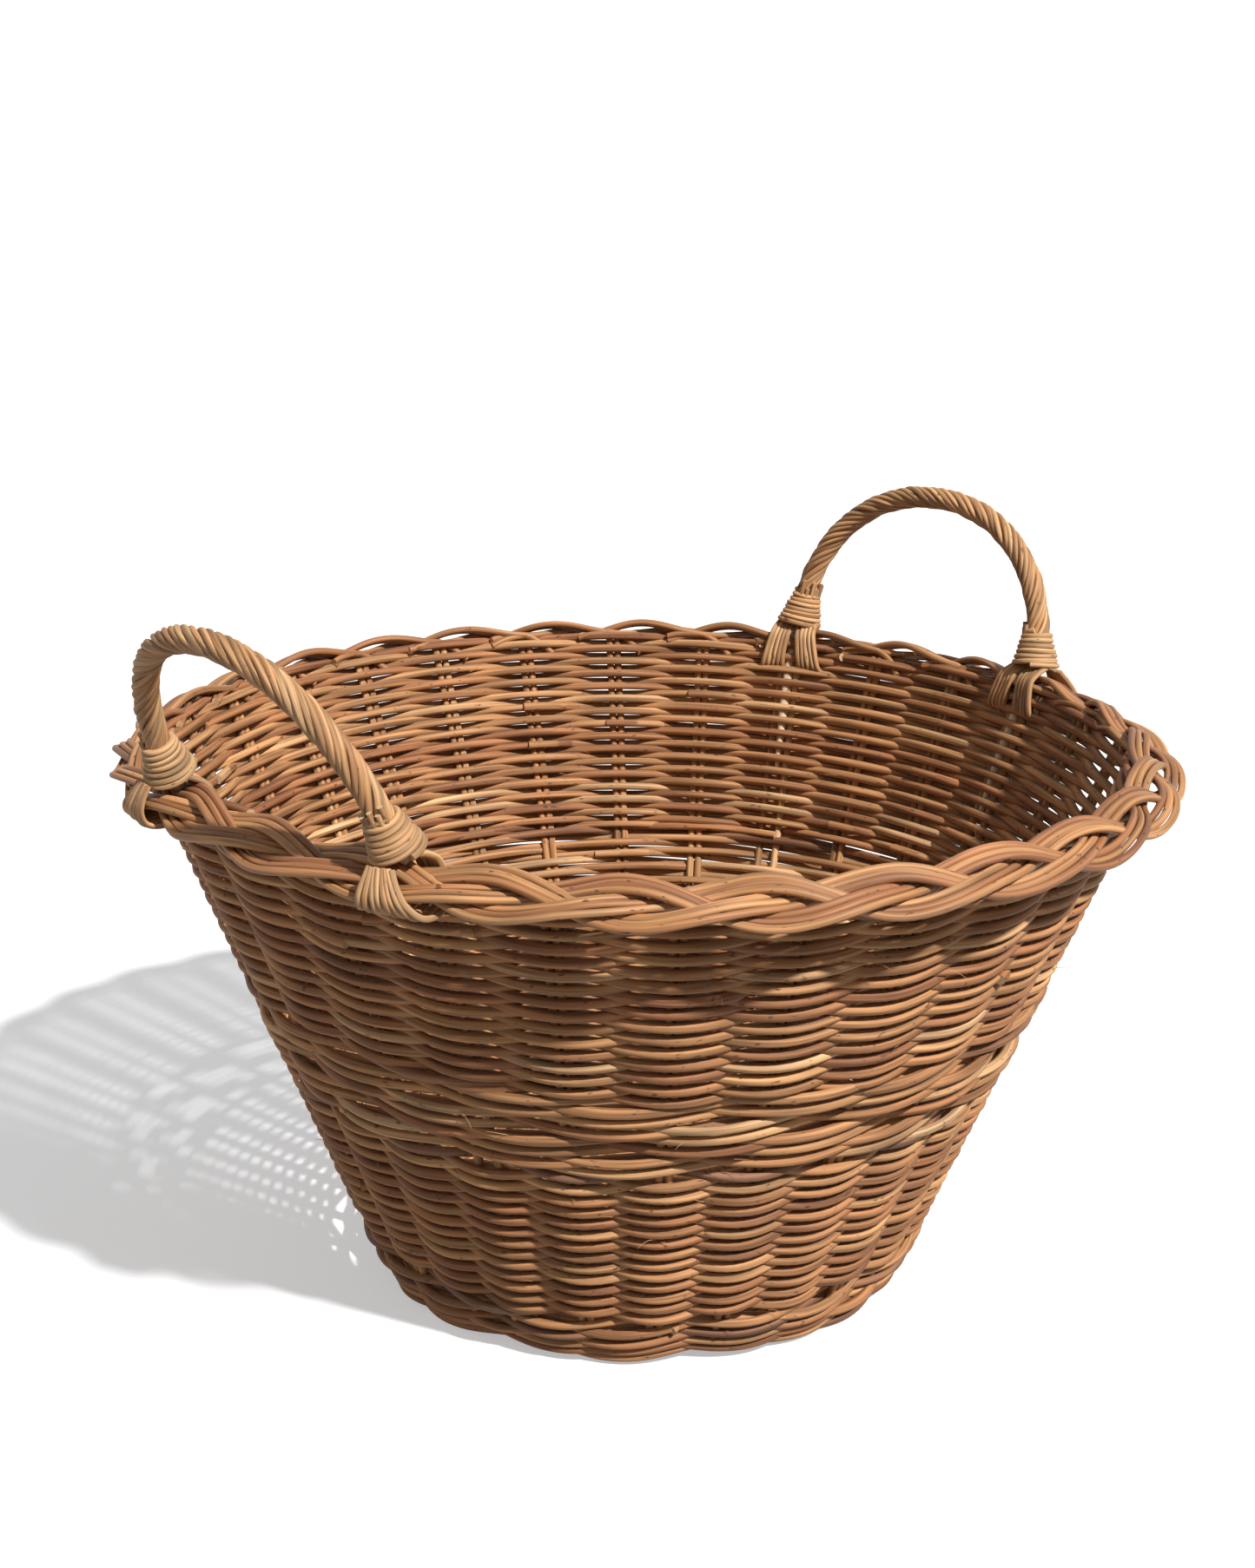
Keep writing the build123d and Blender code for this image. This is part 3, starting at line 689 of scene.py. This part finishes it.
# Looks nearly white and keeps the shadow, but throws little light back on the object.
def floorMaterial():
    made = bpy.data.materials.new("floorPaint")
    made.use_nodes = True
    tree = made.node_tree
    paint = tree.nodes["Principled BSDF"]
    paint.inputs["Base Color"].default_value = grey(stage["paint"])
    paint.inputs["Roughness"].default_value = stage["rough"]
    glow = tree.nodes.new("ShaderNodeEmission")
    glow.inputs["Strength"].default_value = stage["glow"]
    seen = tree.nodes.new("ShaderNodeAddShader")
    tree.links.new(paint.outputs[0], seen.inputs[0])
    tree.links.new(glow.outputs[0], seen.inputs[1])
    dim = tree.nodes.new("ShaderNodeBsdfDiffuse")
    dim.inputs["Color"].default_value = grey(stage["bounce"])
    mix = tree.nodes.new("ShaderNodeMixShader")
    tree.links.new(seenFactor(tree), mix.inputs[0])
    tree.links.new(dim.outputs[0], mix.inputs[1])
    tree.links.new(seen.outputs[0], mix.inputs[2])
    tree.links.new(mix.outputs[0], tree.nodes["Material Output"].inputs["Surface"])
    return made


half = stage["size"] / 2
floorCorners = [(half * x, half * y, 0.0) for x, y in ((-1, -1), (1, -1), (1, 1), (-1, 1))]
floorMesh = bpy.data.meshes.new("floor")
floorMesh.from_pydata(floorCorners, [], [(0, 1, 2, 3)])
floorMesh.materials.append(floorMaterial())
floor = bpy.data.objects.new("floor", floorMesh)
bpy.context.scene.collection.objects.link(floor)

# The sky lights the object softly and is white where it is seen.
world = bpy.data.worlds.new("sky")
world.use_nodes = True
strength = world.node_tree.nodes.new("ShaderNodeMapRange")
strength.inputs["To Min"].default_value = stage["sky"]
strength.inputs["To Max"].default_value = 1.0
world.node_tree.links.new(seenFactor(world.node_tree), strength.inputs["Value"])
background = world.node_tree.nodes["Background"]
background.inputs["Color"].default_value = grey(1.0)
world.node_tree.links.new(strength.outputs["Result"], background.inputs["Strength"])
bpy.context.scene.world = world
bpy.context.scene.view_settings.view_transform = "Standard"

sun = bpy.data.lights.new("sun", "SUN")
sun.energy = stage["sun"]
sun.angle = stage["soft"]
lamp = bpy.data.objects.new("sun", sun)
bpy.context.scene.collection.objects.link(lamp)
lamp.location = (0.0, 0.0, 3.0)
lamp.rotation_euler = (math.pi / 2 - stage["sunHeight"], 0.0, stage["heading"] + stage["sunAside"])
print("stage set")

# Camera: fitted to the rim, base and handles.
camera = dict(place=(-0.8882, -0.8221, 0.6210), pitch=16.315, roll=-0.213, lens=53.38, sensor=36.0)
lens = bpy.data.cameras.new("camera")
lens.lens = camera["lens"]
lens.sensor_width = camera["sensor"]
lens.dof.use_dof = False
viewer = bpy.data.objects.new("camera", lens)
bpy.context.scene.collection.objects.link(viewer)
viewer.matrix_world = (
    Matrix.Translation(camera["place"])
    @ Matrix.Rotation(stage["heading"], 4, "Z")
    @ Matrix.Rotation(math.radians(90 - camera["pitch"]), 4, "X")
    @ Matrix.Rotation(math.radians(camera["roll"]), 4, "Z")
)
bpy.context.scene.camera = viewer
print("camera set")
